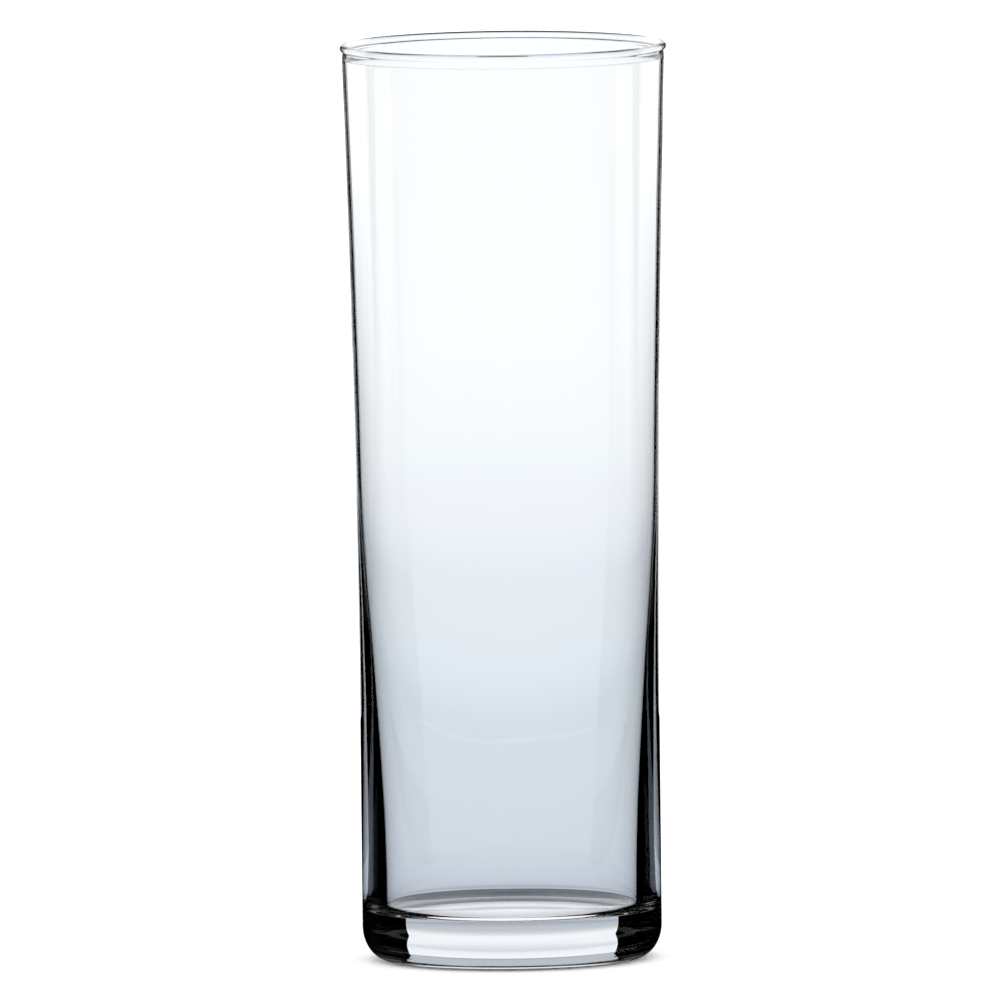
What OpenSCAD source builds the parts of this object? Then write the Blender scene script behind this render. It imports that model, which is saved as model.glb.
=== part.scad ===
// Tall clear highball glass, blown in one piece: thin flared wall, heavy solid base.
// The origin is the middle of the ring that it stands on, with +Z up.

/* [Outside] */
// Height from the table to the top of the lip
glass_h = 163; // [130:1:200]
// Diameter of the straight lower body
body_d = 53.2; // [46:0.2:56]
// How far the wall has flared out past the body, on each side, where it meets the lip
flare_out = 2.05; // [0:0.05:8]
// Height at which the straight body starts to flare
flare_start = 50; // [16:1:100]
// How the flare runs with height: 1 is a straight cone, and 2 a curve that steepens towards the lip
flare_bend = 1.5; // [1:0.1:3]

/* [Wall] */
// Wall thickness in the thin upper half
upper_wall = 0.95; // [0.8:0.05:1.6]
// Wall thickness at the foot
foot_wall = 4.45; // [2:0.05:6]
// Height at which the thick foot of the wall starts to thin
thinning_start = 8.5; // [6:0.5:50]
// Height at which the wall has come down to its upper thickness
thinning_end = 86; // [60:1:120]

/* [Lip] */
// How far the fire-polished bead stands out past the outside of the wall
bead_out = 0.35; // [0.1:0.05:0.6]
// How far the bead stands in past the inside of the wall
bead_in = 0.1; // [0.1:0.05:0.6]

/* [Base] */
// Height of the inside floor above the table
floor_h = 8.5; // [5:0.1:12]
// Radius of the inside corner between the floor and the wall
corner_r = 2.2; // [1:0.1:5]
// How far the rounded heel draws in under the body
heel_w = 4.6; // [1:0.1:6]
// How far up the body the rounded heel reaches
heel_h = 6; // [1:0.1:8]
// Width of the flat ring that the glass stands on
ring_w = 3; // [1:0.5:6]
// Depth of the shallow hollow under the base
hollow_h = 1.2; // [0.4:0.1:2.5]

/* [Hidden] */

// Steps along each curve of the outline, and around the axis
arc_steps = 12;
wall_steps = 24;
$fn = 180;

body_r = body_d / 2;
neck_r = body_r + flare_out;

// The lip is a round bead, as thick as the wall and what it stands out on both sides
bead_r = (upper_wall + bead_out + bead_in) / 2;
bead_x = neck_r + bead_out - bead_r;
bead_z = glass_h - bead_r;
bead_outer_angle = -acos((bead_r - bead_out) / bead_r);
bead_inner_angle = 180 + acos((bead_r - bead_in) / bead_r);

// Heights at which the wall runs into the bead, outside and inside
neck_outer_z = bead_z + bead_r * sin(bead_outer_angle);
neck_inner_z = bead_z + bead_r * sin(bead_inner_angle);

// Points on an arc about (x, z), from one angle to another; first = 1 leaves out the point it starts at
function arc(x, z, r, from, to, first = 0) =
    [for (i = [first:arc_steps]) let (a = from + (to - from) * i / arc_steps) [x + r * cos(a), z + r * sin(a)]];

// Smooth step from 0 to 1 as u goes from 0 to 1
function ease(u) = let (v = max(0, min(1, u))) v * v * (3 - 2 * v);

// Outside radius of the wall: straight, then flaring out to the neck
function outer_r(z) =
    let (u = max(0, z - flare_start) / (neck_outer_z - flare_start)) body_r + flare_out * pow(u, flare_bend);

// Wall thickness at a height
function wall_at(z) =
    foot_wall + (upper_wall - foot_wall) * ease((z - thinning_start) / (thinning_end - thinning_start));

// Inside radius of the wall
function inner_r(z) = outer_r(z) - wall_at(z);

// Where the inside corner meets the wall, and the edge of the hollow under the base
corner_top = floor_h + corner_r;
foot_inner_r = inner_r(corner_top);
hollow_r = body_r - heel_w - ring_w;

// Heights of the outline's points along the outside and the inside of the wall
function outer_z(i) = flare_start + (neck_outer_z - flare_start) * i / wall_steps;
function inner_z(i) = neck_inner_z + (corner_top - neck_inner_z) * i / wall_steps;

// Underside, from the middle of the hollow out to the ring
function underside() =
    [for (i = [0:arc_steps]) let (u = i / arc_steps) [hollow_r * u, hollow_h * (1 - u * u)]];

// Heel, a quarter of an ellipse from the ring up to the straight body
function heel() =
    [for (i = [0:arc_steps]) let (a = 90 * i / arc_steps) [body_r - heel_w * (1 - sin(a)), heel_h * (1 - cos(a))]];

// Half section of the glass, around from the middle of the underside to the middle of the floor
function half_section() = concat(
    underside(),
    heel(),
    [for (i = [0:wall_steps - 1]) [outer_r(outer_z(i)), outer_z(i)]],
    arc(bead_x, bead_z, bead_r, bead_outer_angle, 90),
    arc(bead_x, bead_z, bead_r, 90, bead_inner_angle, 1),
    [for (i = [1:wall_steps - 1]) [inner_r(inner_z(i)), inner_z(i)]],
    arc(foot_inner_r - corner_r, corner_top, corner_r, 0, -90),
    [[0, floor_h]]
);

module tumbler() {
    color([0.80, 0.87, 0.92, 0.45]) rotate_extrude() polygon(half_section());
}

tumbler();
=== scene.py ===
"""Looks of the clear highball glass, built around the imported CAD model. Lengths are in metres."""
import math

import bpy
import numpy as np
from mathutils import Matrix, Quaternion, Vector


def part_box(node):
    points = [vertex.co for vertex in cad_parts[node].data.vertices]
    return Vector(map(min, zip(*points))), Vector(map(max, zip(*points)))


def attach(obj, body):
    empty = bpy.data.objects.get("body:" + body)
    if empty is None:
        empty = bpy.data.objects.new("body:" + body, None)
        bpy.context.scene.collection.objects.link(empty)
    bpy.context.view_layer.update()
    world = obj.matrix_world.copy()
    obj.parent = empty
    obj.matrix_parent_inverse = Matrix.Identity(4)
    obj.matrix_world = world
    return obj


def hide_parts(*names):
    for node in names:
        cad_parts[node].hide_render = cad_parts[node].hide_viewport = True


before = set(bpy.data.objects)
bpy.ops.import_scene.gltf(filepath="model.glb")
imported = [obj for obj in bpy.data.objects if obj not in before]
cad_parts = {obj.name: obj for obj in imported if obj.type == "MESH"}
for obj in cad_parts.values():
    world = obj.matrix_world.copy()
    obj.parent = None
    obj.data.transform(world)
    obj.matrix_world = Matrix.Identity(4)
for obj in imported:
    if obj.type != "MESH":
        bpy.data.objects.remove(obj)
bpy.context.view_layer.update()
box_low, box_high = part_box("tumbler")

# Sizes of the glass, the same as the CAD model's
GLASS_H = box_high.z - box_low.z
BODY_R = 0.0266
FLARE_OUT = 0.00205
FLARE_START = 0.050
FLARE_BEND = 1.5
UPPER_WALL = 0.00095
FOOT_WALL = 0.00445
THINNING_START = 0.0085
THINNING_END = 0.086
BEAD_OUT = 0.00035
BEAD_IN = 0.0001
FLOOR_H = 0.0085
CORNER_R = 0.0022
HEEL_W = 0.0046
HEEL_H = 0.006
RING_W = 0.003
HOLLOW_H = 0.0012

# How finely the outline is drawn, along it and around the axis
ARC_STEPS = 20
WALL_STEPS = 90
HOLLOW_STEPS = 20
RING_STEPS = 4
HEEL_STEPS = 28
AROUND = 288

# What a thick piece of the glass takes out of the light, per metre, and how it tints it
ABSORB_DENSITY = 20
ABSORB_COLOUR = (0.902, 0.912, 0.920, 1)

# Fine detail of the surface: smudges, waves and the settle line
GLASS_IOR = 1.52
SMUDGE_SCALE = 45
SMUDGE_DETAIL = 4
SMUDGE_RANGE = (0.5, 0.8)
SMUDGE_ROUGHNESS = 0.015
WAVE_SCALE = 70
WAVE_DETAIL = 1
WAVE_DEPTH = 0.000018
LINE_X = -0.004
LINE_Z = 0.0405
LINE_BEND = 4.5
LINE_LEFT_BEND = 22
LINE_W = 0.0008
LINE_SOFTNESS = 0.3
LINE_DEPTH = 0.000022
LINE_FADE = (0.013, 0.0205)
LINE_MAX_R = 0.0248

# Camera: a long lens, a little above the rim, turned by as much as the photograph leans
CAMERA_Y = -7.0
CAMERA_Z = 0.702
AIM_X = -0.00136
AIM_Z = 0.0816
LENS_MM = 1425
CLIP_END = 100
ROLL = math.radians(-0.615)

# Floor and plain studio light
FLOOR_HALF_W = 6.0
FLOOR_Z = -0.0001
FLOOR_COLOUR = (0.93, 0.93, 0.93, 1)
FLOOR_ROUGHNESS = 0.9
STUDIO_LIGHT = 1.6
BOUNCES = 32
GLOSSY_BOUNCES = 16

# Numbers of times that light has gone in or out of glass: some, and more than one wall or lip takes
SOME_GLASS = 0.5
MORE_GLASS = 2.5
SCATTERED = 0.5

# Rig round the glass, which only the glass sees and which turns with the camera. The surfaces that give light
BACKDROP_Y = 0.455
BACKDROP_HALF_W = 0.9
BACKDROP_H = 1.0
BACKDROP_STOPS = [
    (0.0, (0.80, 0.86, 0.93)),
    (0.014, (0.85, 0.91, 0.96)),
    (0.027, (0.89, 0.93, 0.97)),
    (0.041, (0.90, 0.94, 1.00)),
    (0.050, (0.93, 0.98, 1.01)),
    (0.061, (0.98, 0.99, 1.03)),
    (0.072, (1.00, 1.02, 1.04)),
    (1.0, (1.02, 1.03, 1.04)),
]
TABLE_R = 3.0
TABLE_Z = -0.0004
# Colour of the table's light by distance from the middle of the foot. The dark stops near the foot, out to
# about 0.15, are painted shadow of the glass on the table
TABLE_LIGHT_AND_SHADOW_STOPS = [
    (0.0, (0.75, 0.80, 0.85)),
    (0.0083, (0.72, 0.77, 0.82)),
    (0.0125, (0.55, 0.60, 0.65)),
    (0.0155, (0.22, 0.24, 0.26)),
    (0.023, (0.22, 0.24, 0.26)),
    (0.030, (0.38, 0.41, 0.45)),
    (0.048, (0.58, 0.62, 0.66)),
    (0.070, (0.38, 0.43, 0.50)),
    (0.100, (0.51, 0.56, 0.65)),
    (0.124, (0.60, 0.66, 0.75)),
    (0.151, (0.67, 0.74, 0.81)),
    (0.201, (0.69, 0.76, 0.82)),
    (0.254, (0.68, 0.76, 0.82)),
    (0.284, (0.75, 0.82, 0.89)),
    (0.320, (0.79, 0.86, 0.92)),
    (0.413, (0.81, 0.86, 0.92)),
    (1.0, (0.90, 0.94, 0.99)),
    (3.0, (1.0, 1.0, 1.0)),
]
FRONT_Y = -2.9
FRONT_STOPS = [(0.0, (0.98, 0.99, 1.0)), (1.0, (1, 1, 1))]
CEILING_Z = 0.9
CEILING_EDGE_Y = -1.0
CEILING_FRONT_TONE = 0.35
CEILING_BACK_TONE = 1.0

# How the light falls off to the sides behind the glass: from and to this far out, and from this tone
SIDE_SHADE_FROM = 0.05
SIDE_SHADE_TO = 0.12
SIDE_SHADE_TONE = 1.065
SIDE_TONE_LOW = 0.74
SIDE_TONE_HIGH = 0.95
SIDE_TONE_Z = 0.05
SIDE_TONE_RISE = 3.3

# The table behind is dark for light that left the glass high up, which draws the lines of the lip
LIP_R = 0.029
LIP_REACH = 0.3
LIP_LIMIT = 0.009
LIP_LIMIT_SLOPE = 0.03

# How much longer than the gap under the glass the path of light that comes straight down may be
STEEP = 1.4

# The surfaces of the rig that are dark, or that thin the light
STRIP_X = 0.0305
STRIP_NEAR_Y = 0.0
STRIP_FAR_Y = 0.012
STRIP_H = 0.3
CARD_X = 0.057
CARD_NEAR_Y = -0.02
CARD_FAR_Y = 0.116
CARD_LOW_Z = -0.01
CARD_FADE_Z = 0.055
CARD_H = 0.135
LOW_CARD_X = 0.114
LOW_CARD_Z = -0.0002
LOW_CARD_NEAR_Y = -0.03
WEDGE_X = 0.0048
WEDGE_Y = 0.0262
WEDGE_ANGLE = math.radians(34.6)
WEDGE_REACH = 0.09
GAUZE_HALF_W = 0.057
GAUZE_Y = 0.116
GAUZE_H = 0.0145
GAUZE_FADE_Z = 0.008
GAUZE_LOW_TONE = 0.68
GAUZE_HIGH_TONE = 0.96
# Rings on the table round the foot, which only light through the glass sees: painted shadow of the glass on
# the table. The near one is dark grey to light through both walls, the heel one black to light through less
# glass
RING_SIDES = 96
NEAR_SHADOW_IN = 0.031
NEAR_SHADOW_OUT = 0.053
NEAR_SHADOW_Z = -0.0003
NEAR_SHADOW_COLOUR = (0.13, 0.145, 0.175)
HEEL_SHADOW_IN = 0.027
HEEL_SHADOW_OUT = 0.043
HEEL_SHADOW_Z = -0.00015


def ease(u):
    """Smooth step from 0 to 1."""
    v = np.clip(u, 0, 1)
    return v * v * (3 - 2 * v)


def arc(x, z, r, start, end, steps=ARC_STEPS):
    """Points on an arc about (x, z), without the first one, from one angle in degrees to another."""
    a = np.radians(np.linspace(start, end, steps + 1)[1:])
    return np.stack([x + r * np.cos(a), z + r * np.sin(a)], 1)


def outline():
    """Half section of the glass, from the middle of the underside round to the middle of the floor."""
    neck_r = BODY_R + FLARE_OUT
    bead_r = (UPPER_WALL + BEAD_OUT + BEAD_IN) / 2
    bead_x = neck_r + BEAD_OUT - bead_r
    bead_z = GLASS_H - bead_r
    outer_angle = -math.degrees(math.acos((bead_r - BEAD_OUT) / bead_r))
    inner_angle = 180 + math.degrees(math.acos((bead_r - BEAD_IN) / bead_r))
    neck_outer_z = bead_z + bead_r * math.sin(math.radians(outer_angle))
    neck_inner_z = bead_z + bead_r * math.sin(math.radians(inner_angle))
    corner_z = FLOOR_H + CORNER_R
    hollow_r = BODY_R - HEEL_W - RING_W

    def outer_r(z):
        u = np.maximum(0, z - FLARE_START) / (neck_outer_z - FLARE_START)
        return BODY_R + FLARE_OUT * u ** FLARE_BEND

    def inner_r(z):
        thinned = ease((z - THINNING_START) / (THINNING_END - THINNING_START))
        return outer_r(z) - FOOT_WALL + (FOOT_WALL - UPPER_WALL) * thinned

    corner_x = inner_r(corner_z) - CORNER_R
    hollow = np.linspace(0, 1, HOLLOW_STEPS + 1)
    ring = np.linspace(hollow_r, BODY_R - HEEL_W, RING_STEPS + 1)[1:]
    heel = np.linspace(0, math.pi / 2, HEEL_STEPS + 1)[1:]
    outside = np.linspace(HEEL_H, neck_outer_z, WALL_STEPS + 1)[1:]
    inside = np.linspace(neck_inner_z, corner_z, WALL_STEPS + 1)[1:]
    floor = np.linspace(corner_x, 0, HOLLOW_STEPS + 1)[1:]
    return np.concatenate([
        np.stack([hollow_r * hollow, HOLLOW_H * (1 - hollow * hollow)], 1),
        np.stack([ring, np.zeros(RING_STEPS)], 1),
        np.stack([BODY_R - HEEL_W * (1 - np.sin(heel)), HEEL_H * (1 - np.cos(heel))], 1),
        np.stack([outer_r(outside), outside], 1),
        arc(bead_x, bead_z, bead_r, outer_angle, 90),
        arc(bead_x, bead_z, bead_r, 90, inner_angle),
        np.stack([inner_r(inside), inside], 1),
        arc(corner_x, corner_z, CORNER_R, 0, -90),
        np.stack([floor, np.full(HOLLOW_STEPS, FLOOR_H)], 1),
    ])


def lathe(name, points):
    """A closed mesh of revolution. The first and last points lie on the axis."""
    angles = np.arange(AROUND) * 2 * math.pi / AROUND
    ring = np.stack([np.cos(angles), np.sin(angles)], 1)
    r, z = points[1:-1, 0], points[1:-1, 1]
    xy = r[:, None, None] * ring[None]
    verts = np.concatenate([xy, np.broadcast_to(z[:, None, None], (len(r), AROUND, 1))], 2).reshape(-1, 3)
    first, last = len(verts), len(verts) + 1
    verts = np.concatenate([verts, [[0, 0, points[0, 1]], [0, 0, points[-1, 1]]]])
    here = np.arange(AROUND)
    after = (here + 1) % AROUND
    faces = [[first, b, a] for a, b in zip(here, after)]
    for k in range(len(r) - 1):
        low, high = k * AROUND, (k + 1) * AROUND
        faces += [[low + a, low + b, high + b, high + a] for a, b in zip(here, after)]
    top = (len(r) - 1) * AROUND
    faces += [[top + a, top + b, last] for a, b in zip(here, after)]
    mesh = bpy.data.meshes.new(name)
    mesh.from_pydata(verts.tolist(), [], faces)
    mesh.shade_smooth()
    mesh.validate()
    obj = bpy.data.objects.new(name, mesh)
    bpy.context.scene.collection.objects.link(obj)
    return obj


class Graph:
    """The nodes of one material, or of the world, with short ways to add to them."""

    def __init__(self, owner, cleared=True):
        owner.use_nodes = True
        self.nodes, self.links = owner.node_tree.nodes, owner.node_tree.links
        if cleared:
            self.nodes.clear()

    def maths(self, operation, *values):
        """A Math node. Each value is a number or another node's output."""
        node = self.nodes.new("ShaderNodeMath")
        node.operation = operation
        for socket, value in zip(node.inputs, values):
            if isinstance(value, (int, float)):
                socket.default_value = value
            else:
                self.links.new(value, socket)
        return node.outputs[0]

    def product(self, first, *others):
        for other in others:
            first = self.maths("MULTIPLY", first, other)
        return first

    def largest(self, first, *others):
        for other in others:
            first = self.maths("MAXIMUM", first, other)
        return first

    def opposite(self, value):
        return self.maths("SUBTRACT", 1.0, value)

    def map_range(self, value, *ends):
        """Turns the first two ends into the last two. Each end is a number or another node's output."""
        node = self.nodes.new("ShaderNodeMapRange")
        for name, end in zip(("From Min", "From Max", "To Min", "To Max"), ends):
            if isinstance(end, (int, float)):
                node.inputs[name].default_value = end
            else:
                self.links.new(end, node.inputs[name])
        self.links.new(value, node.inputs["Value"])
        return node.outputs["Result"]

    def place(self):
        return self.nodes.new("ShaderNodeTexCoord").outputs["Object"]

    def place_xyz(self):
        split = self.nodes.new("ShaderNodeSeparateXYZ")
        self.links.new(self.place(), split.inputs[0])
        return split.outputs

    def distance(self):
        """How far the point is from the middle of the glass's foot."""
        length = self.nodes.new("ShaderNodeVectorMath")
        length.operation = "LENGTH"
        self.links.new(self.place(), length.inputs[0])
        return length.outputs["Value"]

    def path(self, name):
        return self.nodes.new("ShaderNodeLightPath").outputs[name]

    def crossed(self, times):
        """1 for light that has gone in or out of glass more often than this."""
        return self.maths("GREATER_THAN", self.path("Transmission Depth"), times)

    def scattered(self):
        """1 for light that the floor has scattered."""
        return self.maths("GREATER_THAN", self.path("Diffuse Depth"), SCATTERED)

    def noise(self, place, scale, detail):
        node = self.nodes.new("ShaderNodeTexNoise")
        node.inputs["Scale"].default_value = scale
        node.inputs["Detail"].default_value = detail
        self.links.new(place, node.inputs["Vector"])
        return node.outputs[0]

    def bump(self, height, depth):
        node = self.nodes.new("ShaderNodeBump")
        node.inputs["Distance"].default_value = depth
        self.links.new(height, node.inputs["Height"])
        return node

    def finish(self, kind, result, socket):
        out = self.nodes.new(kind)
        self.links.new(result, out.inputs[socket])


def settle_line(graph):
    """1 along the faint curved line where the glass settled, low on the front of the inside wall."""
    x, y, z = graph.place_xyz()
    t = graph.maths("SUBTRACT", x, LINE_X)
    bend = graph.maths("MULTIPLY_ADD", graph.maths("LESS_THAN", t, 0.0), LINE_LEFT_BEND, LINE_BEND)
    line_z = graph.maths("MULTIPLY_ADD", graph.product(t, t), bend, LINE_Z)
    off = graph.maths("ABSOLUTE", graph.maths("SUBTRACT", z, line_z))
    near = graph.opposite(graph.maths("DIVIDE", off, LINE_W))
    ridge = graph.maths("SMOOTH_MAX", near, 0.0, LINE_SOFTNESS)
    radius = graph.maths("SQRT", graph.maths("ADD", graph.product(x, x), graph.product(y, y)))
    inside = graph.maths("LESS_THAN", radius, LINE_MAX_R)
    front = graph.maths("LESS_THAN", y, 0.0)
    fade = graph.map_range(graph.maths("ABSOLUTE", x), *LINE_FADE, 1.0, 0.0)
    return graph.product(ridge, inside, front, fade)


def glass_material():
    """Clear glass, with smudges in its roughness, waves and a settle line as bump, and a faint tint where it
    is thick."""
    mat = bpy.data.materials.new("clear_glass")
    graph = Graph(mat, cleared=False)
    shader = graph.nodes["Principled BSDF"]
    shader.inputs["Base Color"].default_value = (1, 1, 1, 1)
    shader.inputs["IOR"].default_value = GLASS_IOR
    shader.inputs["Transmission Weight"].default_value = 1.0
    place = graph.place()
    smudges = graph.noise(place, SMUDGE_SCALE, SMUDGE_DETAIL)
    rough = graph.map_range(smudges, *SMUDGE_RANGE, 0.0, SMUDGE_ROUGHNESS)
    graph.links.new(rough, shader.inputs["Roughness"])
    waves = graph.bump(graph.noise(place, WAVE_SCALE, WAVE_DETAIL), WAVE_DEPTH)
    line = graph.bump(settle_line(graph), LINE_DEPTH)
    graph.links.new(waves.outputs[0], line.inputs["Normal"])
    graph.links.new(line.outputs[0], shader.inputs["Normal"])
    absorb = graph.nodes.new("ShaderNodeVolumeAbsorption")
    absorb.inputs["Color"].default_value = ABSORB_COLOUR
    absorb.inputs["Density"].default_value = ABSORB_DENSITY
    graph.links.new(absorb.outputs[0], graph.nodes["Material Output"].inputs["Volume"])
    return mat


def stage_mesh(name, verts, faces):
    """A piece of the studio, which isn't part of the glass."""
    mesh = bpy.data.meshes.new(name)
    mesh.from_pydata(verts, [], faces)
    obj = bpy.data.objects.new(name, mesh)
    bpy.context.scene.collection.objects.link(obj)
    return obj


def sheet(name, corners):
    return stage_mesh(name, corners, [list(range(len(corners)))])


def level(near_y, far_y, half_w, z):
    """Corners of a level sheet."""
    return [(-half_w, near_y, z), (half_w, near_y, z), (half_w, far_y, z), (-half_w, far_y, z)]


def facing(half_w, y, low_z, high_z):
    """Corners of an upright sheet across the view."""
    return [(-half_w, y, low_z), (half_w, y, low_z), (half_w, y, high_z), (-half_w, y, high_z)]


def beside(x, near_y, far_y, low_z, high_z):
    """Corners of an upright sheet at one side."""
    return [(x, near_y, low_z), (x, far_y, low_z), (x, far_y, high_z), (x, near_y, high_z)]


def flat_ring(name, inner_r, outer_r, z):
    angles = np.arange(RING_SIDES) * 2 * math.pi / RING_SIDES
    verts = [(r * math.cos(a), r * math.sin(a), z) for r in (inner_r, outer_r) for a in angles]
    following = [(i + 1) % RING_SIDES for i in range(RING_SIDES)]
    faces = [(i, k, RING_SIDES + k, RING_SIDES + i) for i, k in enumerate(following)]
    return stage_mesh(name, verts, faces)


def on_rig(obj, mat, turntable):
    """The rig shows in what the glass bends and mirrors, and nowhere else."""
    obj.data.materials.append(mat)
    obj.visible_camera = False
    obj.visible_diffuse = False
    obj.visible_shadow = False
    obj.parent = turntable


def straight_down(graph):
    """1 for light that reaches the table nearly straight below the place where it left the underside of the
    glass, and 0 for the rest. Without it the glass is black from above."""
    share = graph.maths("DIVIDE", graph.distance(), BODY_R - HEEL_W - RING_W)
    gap = graph.maths("MULTIPLY_ADD", graph.product(share, share), -HOLLOW_H, HOLLOW_H)
    gap = graph.maths("ADD", graph.largest(gap, 0.0), -TABLE_Z)
    return graph.maths("LESS_THAN", graph.path("Ray Length"), graph.product(gap, STEEP))


def left_high(graph, along, behind):
    """1 for light that meets the near part of the table behind after it left the glass high up, told by how
    long its path is. It is worked out for light that travels along Y."""
    x, y, z = graph.place_xyz()
    depth = graph.largest(graph.maths("SUBTRACT", LIP_R ** 2, graph.product(x, x)), 0.0)
    reach = graph.maths("SUBTRACT", y, graph.maths("SQRT", depth))
    length = graph.path("Ray Length")
    rise = graph.maths("SUBTRACT", graph.product(length, length), graph.product(reach, reach))
    high = graph.maths("GREATER_THAN", rise, graph.maths("MULTIPLY_ADD", along, LIP_LIMIT_SLOPE, LIP_LIMIT))
    close = graph.maths("LESS_THAN", along, LIP_REACH)
    return graph.product(high, close, behind, graph.opposite(graph.path("Is Diffuse Ray")))


def side_shade(graph, behind):
    """Strength of the light. For rays that went through both walls it changes to the sides, behind the
    glass."""
    x, y, z = graph.place_xyz()
    tone = graph.maths("MULTIPLY_ADD", z, SIDE_TONE_RISE, SIDE_TONE_LOW - SIDE_TONE_RISE * SIDE_TONE_Z)
    tone = graph.maths("MINIMUM", graph.largest(tone, SIDE_TONE_LOW), SIDE_TONE_HIGH)
    aside = graph.product(graph.maths("ABSOLUTE", x), behind, graph.crossed(MORE_GLASS))
    return graph.map_range(aside, SIDE_SHADE_FROM, SIDE_SHADE_TO, SIDE_SHADE_TONE, tone)


def colour_along(graph, along, stops):
    """Colour that runs through the stops."""
    near, far = stops[0][0], stops[-1][0]
    ramp = graph.nodes.new("ShaderNodeValToRGB")
    elements = ramp.color_ramp.elements
    while len(elements) > 1:
        elements.remove(elements[-1])
    for i, (at, colour) in enumerate(stops):
        position = (at - near) / (far - near)
        element = elements[0] if i == 0 else elements.new(position)
        element.position = position
        element.color = (*colour, 1)
    graph.links.new(graph.map_range(along, near, far, 0.0, 1.0), ramp.inputs["Fac"])
    return ramp.outputs["Color"]


def glow(name, stops, measure, lights_after=None, lip_lines=False):
    """Light whose colour runs with height, or with the distance from the glass. Where lights_after is given,
    it lights only rays that have gone in or out of glass more often. Light that the floor has scattered, or
    that came straight down through the base, meets plain white."""
    mat = bpy.data.materials.new(name)
    graph = Graph(mat)
    x, y, z = graph.place_xyz()
    along = z if measure == "height" else graph.distance()
    behind = graph.maths("GREATER_THAN", y, 0.0)
    steep = straight_down(graph)
    mix = graph.nodes.new("ShaderNodeMix")
    mix.data_type = "RGBA"
    mix.inputs["B"].default_value = (1, 1, 1, 1)
    graph.links.new(graph.largest(graph.scattered(), steep), mix.inputs["Factor"])
    graph.links.new(colour_along(graph, along, stops), mix.inputs["A"])
    strength = side_shade(graph, behind)
    if lights_after is not None:
        lit = graph.largest(graph.crossed(lights_after), graph.path("Is Diffuse Ray"), steep)
        strength = graph.product(strength, lit)
    if lip_lines:
        strength = graph.product(strength, graph.opposite(left_high(graph, along, behind)))
    light = graph.nodes.new("ShaderNodeEmission")
    graph.links.new(mix.outputs["Result"], light.inputs["Color"])
    graph.links.new(strength, light.inputs["Strength"])
    graph.finish("ShaderNodeOutputMaterial", light.outputs[0], "Surface")
    return mat


def dark_card(name, passes_after=None, passes_before=None, colour=(0, 0, 0)):
    """Plain black, or dark. Light that has gone in or out of glass more often than passes_after, or less
    often than passes_before, goes on past the card, and so does light that comes straight down."""
    mat = bpy.data.materials.new(name)
    graph = Graph(mat)
    dark = graph.nodes.new("ShaderNodeEmission")
    dark.inputs["Color"].default_value = (*colour, 1)
    clear = graph.nodes.new("ShaderNodeBsdfTransparent")
    mix = graph.nodes.new("ShaderNodeMixShader")
    passes = graph.largest(graph.scattered(), straight_down(graph))
    if passes_after is not None:
        passes = graph.largest(passes, graph.crossed(passes_after))
    if passes_before is not None:
        earlier = graph.maths("LESS_THAN", graph.path("Transmission Depth"), passes_before)
        passes = graph.largest(passes, earlier)
    graph.links.new(passes, mix.inputs[0])
    graph.links.new(dark.outputs[0], mix.inputs[1])
    graph.links.new(clear.outputs[0], mix.inputs[2])
    graph.finish("ShaderNodeOutputMaterial", mix.outputs[0], "Surface")
    return mat


def veil(name, low_z, low_tone, high_z, high_tone):
    """Thins the light, by height, of rays that have gone through no more than one piece of glass."""
    mat = bpy.data.materials.new(name)
    graph = Graph(mat)
    x, y, z = graph.place_xyz()
    tone = graph.map_range(z, low_z, high_z, low_tone, high_tone)
    tone = graph.largest(tone, graph.crossed(MORE_GLASS), graph.path("Is Diffuse Ray"))
    colour = graph.nodes.new("ShaderNodeCombineColor")
    for socket in ("Red", "Green", "Blue"):
        graph.links.new(tone, colour.inputs[socket])
    clear = graph.nodes.new("ShaderNodeBsdfTransparent")
    graph.links.new(colour.outputs[0], clear.inputs["Color"])
    graph.finish("ShaderNodeOutputMaterial", clear.outputs[0], "Surface")
    return mat


def make_world():
    """White to the camera, to the floor and through both walls of the glass, and dark to the rest."""
    made = bpy.data.worlds.new("studio")
    bpy.context.scene.world = made
    graph = Graph(made)
    lit = graph.product(graph.largest(graph.path("Is Camera Ray"), graph.scattered()), STUDIO_LIGHT)
    lit = graph.largest(lit, graph.crossed(MORE_GLASS))
    light = graph.nodes.new("ShaderNodeBackground")
    light.inputs["Color"].default_value = (1, 1, 1, 1)
    graph.links.new(lit, light.inputs["Strength"])
    graph.finish("ShaderNodeOutputWorld", light.outputs[0], "Surface")


def make_floor():
    obj = sheet("floor", level(-FLOOR_HALF_W, FLOOR_HALF_W, FLOOR_HALF_W, FLOOR_Z))
    mat = bpy.data.materials.new("pale_floor")
    mat.use_nodes = True
    shader = mat.node_tree.nodes["Principled BSDF"]
    shader.inputs["Base Color"].default_value = FLOOR_COLOUR
    shader.inputs["Roughness"].default_value = FLOOR_ROUGHNESS
    shader.inputs["Specular IOR Level"].default_value = 0.0
    obj.data.materials.append(mat)
    obj.visible_transmission = False
    obj.visible_glossy = False


def make_camera():
    data = bpy.data.cameras.new("camera")
    data.lens = LENS_MM
    data.clip_end = CLIP_END
    cam = bpy.data.objects.new("camera", data)
    bpy.context.scene.collection.objects.link(cam)
    place = Vector((AIM_X, CAMERA_Y, CAMERA_Z))
    look = Vector((AIM_X, 0, AIM_Z)) - place
    cam.rotation_mode = "QUATERNION"
    cam.rotation_quaternion = look.to_track_quat("-Z", "Y") @ Quaternion((0, 0, 1), ROLL)
    cam.location = place
    bpy.context.scene.camera = cam
    return cam


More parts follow.
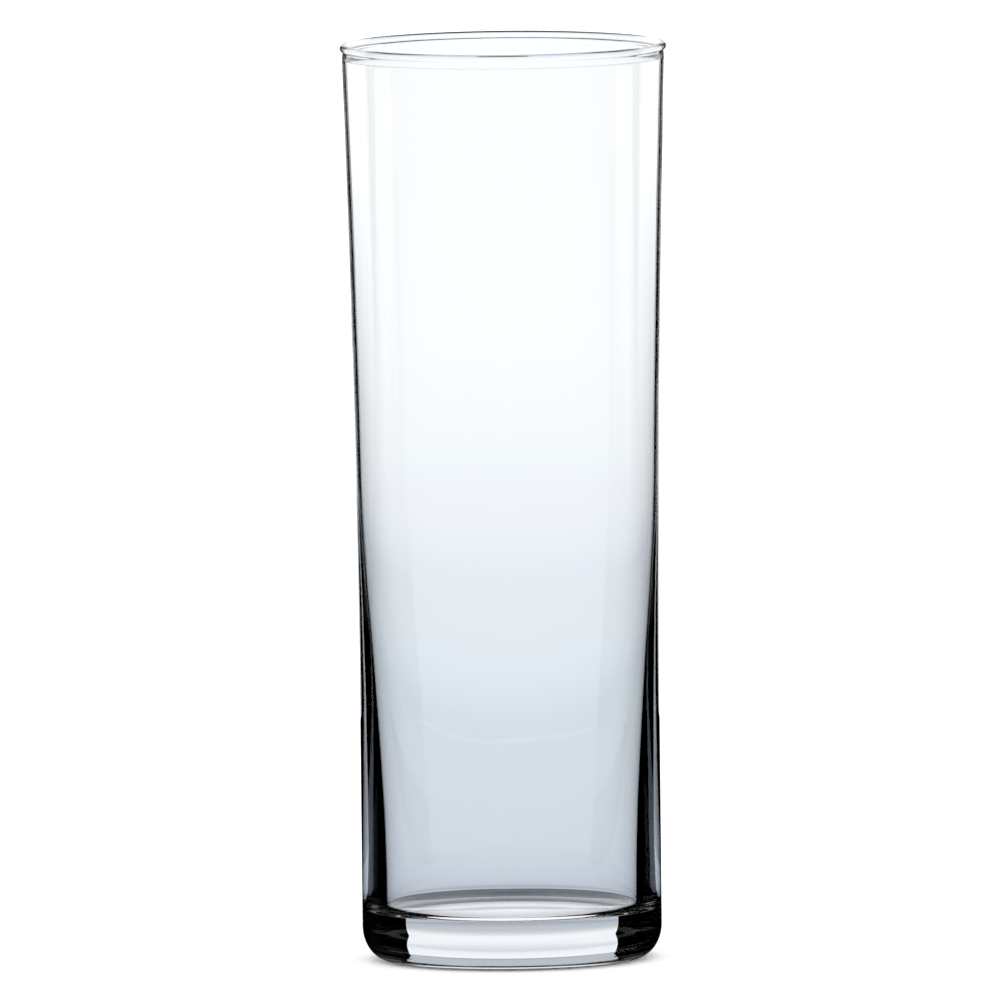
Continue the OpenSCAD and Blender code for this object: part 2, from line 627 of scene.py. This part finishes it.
def make_turntable(cam):
    """What the rig hangs on. It turns with the camera, about the axis of the glass, so the light isn't fixed:
    every view round the glass is lit like the main one. Without the constraint the main view is the same, and
    views from the sides show hard dark patches."""
    turntable = bpy.data.objects.new("rig", None)
    bpy.context.scene.collection.objects.link(turntable)
    face = turntable.constraints.new("LOCKED_TRACK")
    face.target = cam
    face.track_axis = "TRACK_NEGATIVE_Y"
    face.lock_axis = "LOCK_Z"
    return turntable


def make_lights(turntable):
    backdrop = sheet("backdrop", facing(BACKDROP_HALF_W, BACKDROP_Y, TABLE_Z, BACKDROP_H))
    on_rig(backdrop, glow("backdrop_glow", BACKDROP_STOPS, "height"), turntable)

    # The table's light carries the painted shadow of the glass round its foot
    table_front = sheet("table_front", level(-TABLE_R, 0, TABLE_R, TABLE_Z))
    on_rig(table_front, glow("table_front", TABLE_LIGHT_AND_SHADOW_STOPS, "distance", MORE_GLASS), turntable)
    table_back = sheet("table_back", level(0, BACKDROP_Y, TABLE_R, TABLE_Z))
    on_rig(table_back, glow("table_back", TABLE_LIGHT_AND_SHADOW_STOPS, "distance", SOME_GLASS, lip_lines=True), turntable)

    front = sheet("front_glow", facing(TABLE_R, FRONT_Y, TABLE_Z, CEILING_Z))
    on_rig(front, glow("front_glow", FRONT_STOPS, "height", MORE_GLASS), turntable)

    for name, near_y, far_y, lights_after, tone in (
            ("ceiling_front", -TABLE_R, CEILING_EDGE_Y, SOME_GLASS, CEILING_FRONT_TONE),
            ("ceiling_back", CEILING_EDGE_Y, TABLE_R, MORE_GLASS, CEILING_BACK_TONE)):
        ceiling = sheet(name, level(near_y, far_y, TABLE_R, CEILING_Z))
        stops = [(0.0, (tone, tone, tone)), (1.0, (tone, tone, tone))]
        on_rig(ceiling, glow(name, stops, "distance", lights_after), turntable)


def low_card_corners(side):
    """A level card beside the base, cut back on a slant behind it."""
    far_y = WEDGE_Y + WEDGE_REACH
    return [
        (-side * WEDGE_X, WEDGE_Y, LOW_CARD_Z),
        (side * (WEDGE_REACH * math.tan(WEDGE_ANGLE) - WEDGE_X), far_y, LOW_CARD_Z),
        (side * LOW_CARD_X, far_y, LOW_CARD_Z),
        (side * LOW_CARD_X, LOW_CARD_NEAR_Y, LOW_CARD_Z),
        (0, LOW_CARD_NEAR_Y, LOW_CARD_Z),
    ]


def make_cards(turntable):
    strip_black = dark_card("strip_black", passes_after=MORE_GLASS)
    card_black = dark_card("card_black", passes_after=MORE_GLASS)
    card_veil = veil("card_veil", CARD_FADE_Z, 0.0, CARD_H, 1.0)
    # Dark grey, for the painted shadow ring round the foot
    near_shadow_dark = dark_card("painted_near_shadow", passes_before=MORE_GLASS, colour=NEAR_SHADOW_COLOUR)
    for side, name in ((-1, "left"), (1, "right")):
        strip = sheet(f"strip_{name}", beside(side * STRIP_X, STRIP_NEAR_Y, STRIP_FAR_Y, 0, STRIP_H))
        on_rig(strip, strip_black, turntable)
        card = sheet(f"card_{name}", beside(side * CARD_X, CARD_NEAR_Y, CARD_FAR_Y, CARD_LOW_Z, CARD_H))
        on_rig(card, card_veil, turntable)
        on_rig(sheet(f"low_card_{name}", low_card_corners(side)), card_black, turntable)

    gauze = sheet("gauze", facing(GAUZE_HALF_W, GAUZE_Y, TABLE_Z, GAUZE_H))
    gauze_veil = veil("gauze", GAUZE_FADE_Z, GAUZE_LOW_TONE, GAUZE_H, GAUZE_HIGH_TONE)
    on_rig(gauze, gauze_veil, turntable)
    # Painted shadow of the glass on the table, as a dark grey ring
    near_shadow_ring = flat_ring("near_shadow_ring", NEAR_SHADOW_IN, NEAR_SHADOW_OUT, NEAR_SHADOW_Z)
    on_rig(near_shadow_ring, near_shadow_dark, turntable)
    # Painted shadow right round the foot, as a black ring
    heel_shadow_ring = flat_ring("heel_shadow_ring", HEEL_SHADOW_IN, HEEL_SHADOW_OUT, HEEL_SHADOW_Z)
    on_rig(heel_shadow_ring, card_black, turntable)


cam = make_camera()
tumbler = lathe("tumbler_glass", outline())
tumbler.data.materials.append(glass_material())
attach(tumbler, "root")
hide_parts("tumbler")
make_world()
make_floor()
rig = make_turntable(cam)
make_lights(rig)
make_cards(rig)

scene = bpy.context.scene
scene.view_settings.view_transform = "Standard"
scene.cycles.max_bounces = BOUNCES
scene.cycles.transmission_bounces = BOUNCES
scene.cycles.glossy_bounces = GLOSSY_BOUNCES
